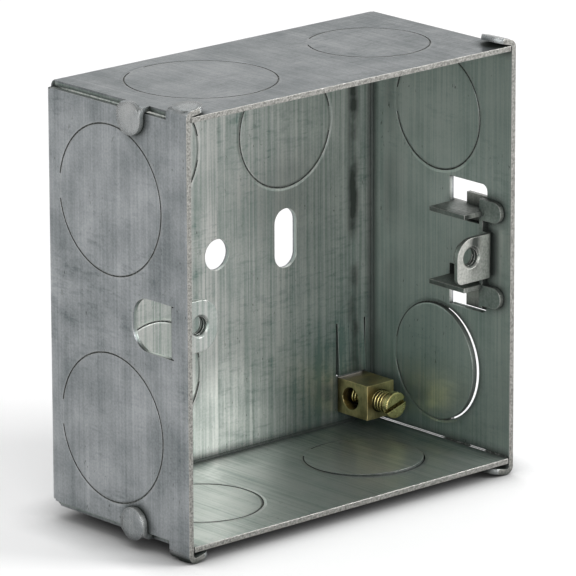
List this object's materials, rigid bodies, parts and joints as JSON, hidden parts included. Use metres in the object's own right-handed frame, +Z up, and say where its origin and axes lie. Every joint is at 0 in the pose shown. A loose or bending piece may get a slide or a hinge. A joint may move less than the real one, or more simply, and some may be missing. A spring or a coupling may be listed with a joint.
{
  "type": "metal back box",
  "caption": "Flush folded steel back box for a wiring accessory, with knockouts, a fixed lug, a sliding lug and a brass earth terminal.",
  "frame": {"origin": "middle of the outer face of the back, on the axis of the round fixing hole", "axes": "+Y is the outward normal of the back, into the building wall; +Z is up; +X is to the right seen from the open front, which is at -Y"},
  "size_m": [0.0745, 0.035, 0.0764],
  "materials": {
    "galvanised_sheet": "galvanised sheet with a fine rolling grain",
    "plated_lug": "zinc plated spring strip",
    "terminal_brass": "drawn brass bar, dulled",
    "screw_brass": "turned brass"
  },
  "bodies": {
    "box": {"box_shell": "galvanised_sheet", "earth_terminal_block": "terminal_brass"},
    "lug": {"sliding_lug": "plated_lug"},
    "clamp_screw": {"earth_terminal_screw": "screw_brass"}
  },
  "joints": [
    {"name": "lug_slide", "type": "slide", "parent": "box", "child": "lug", "axis": [0, 0, 1], "range_m": [-0.0004, 0.0017]},
    {"name": "clamp_screw_travel", "type": "slide", "parent": "box", "child": "clamp_screw", "axis": [0, 1, 0], "range_m": [-0.0035, 0.0002]}
  ]
}
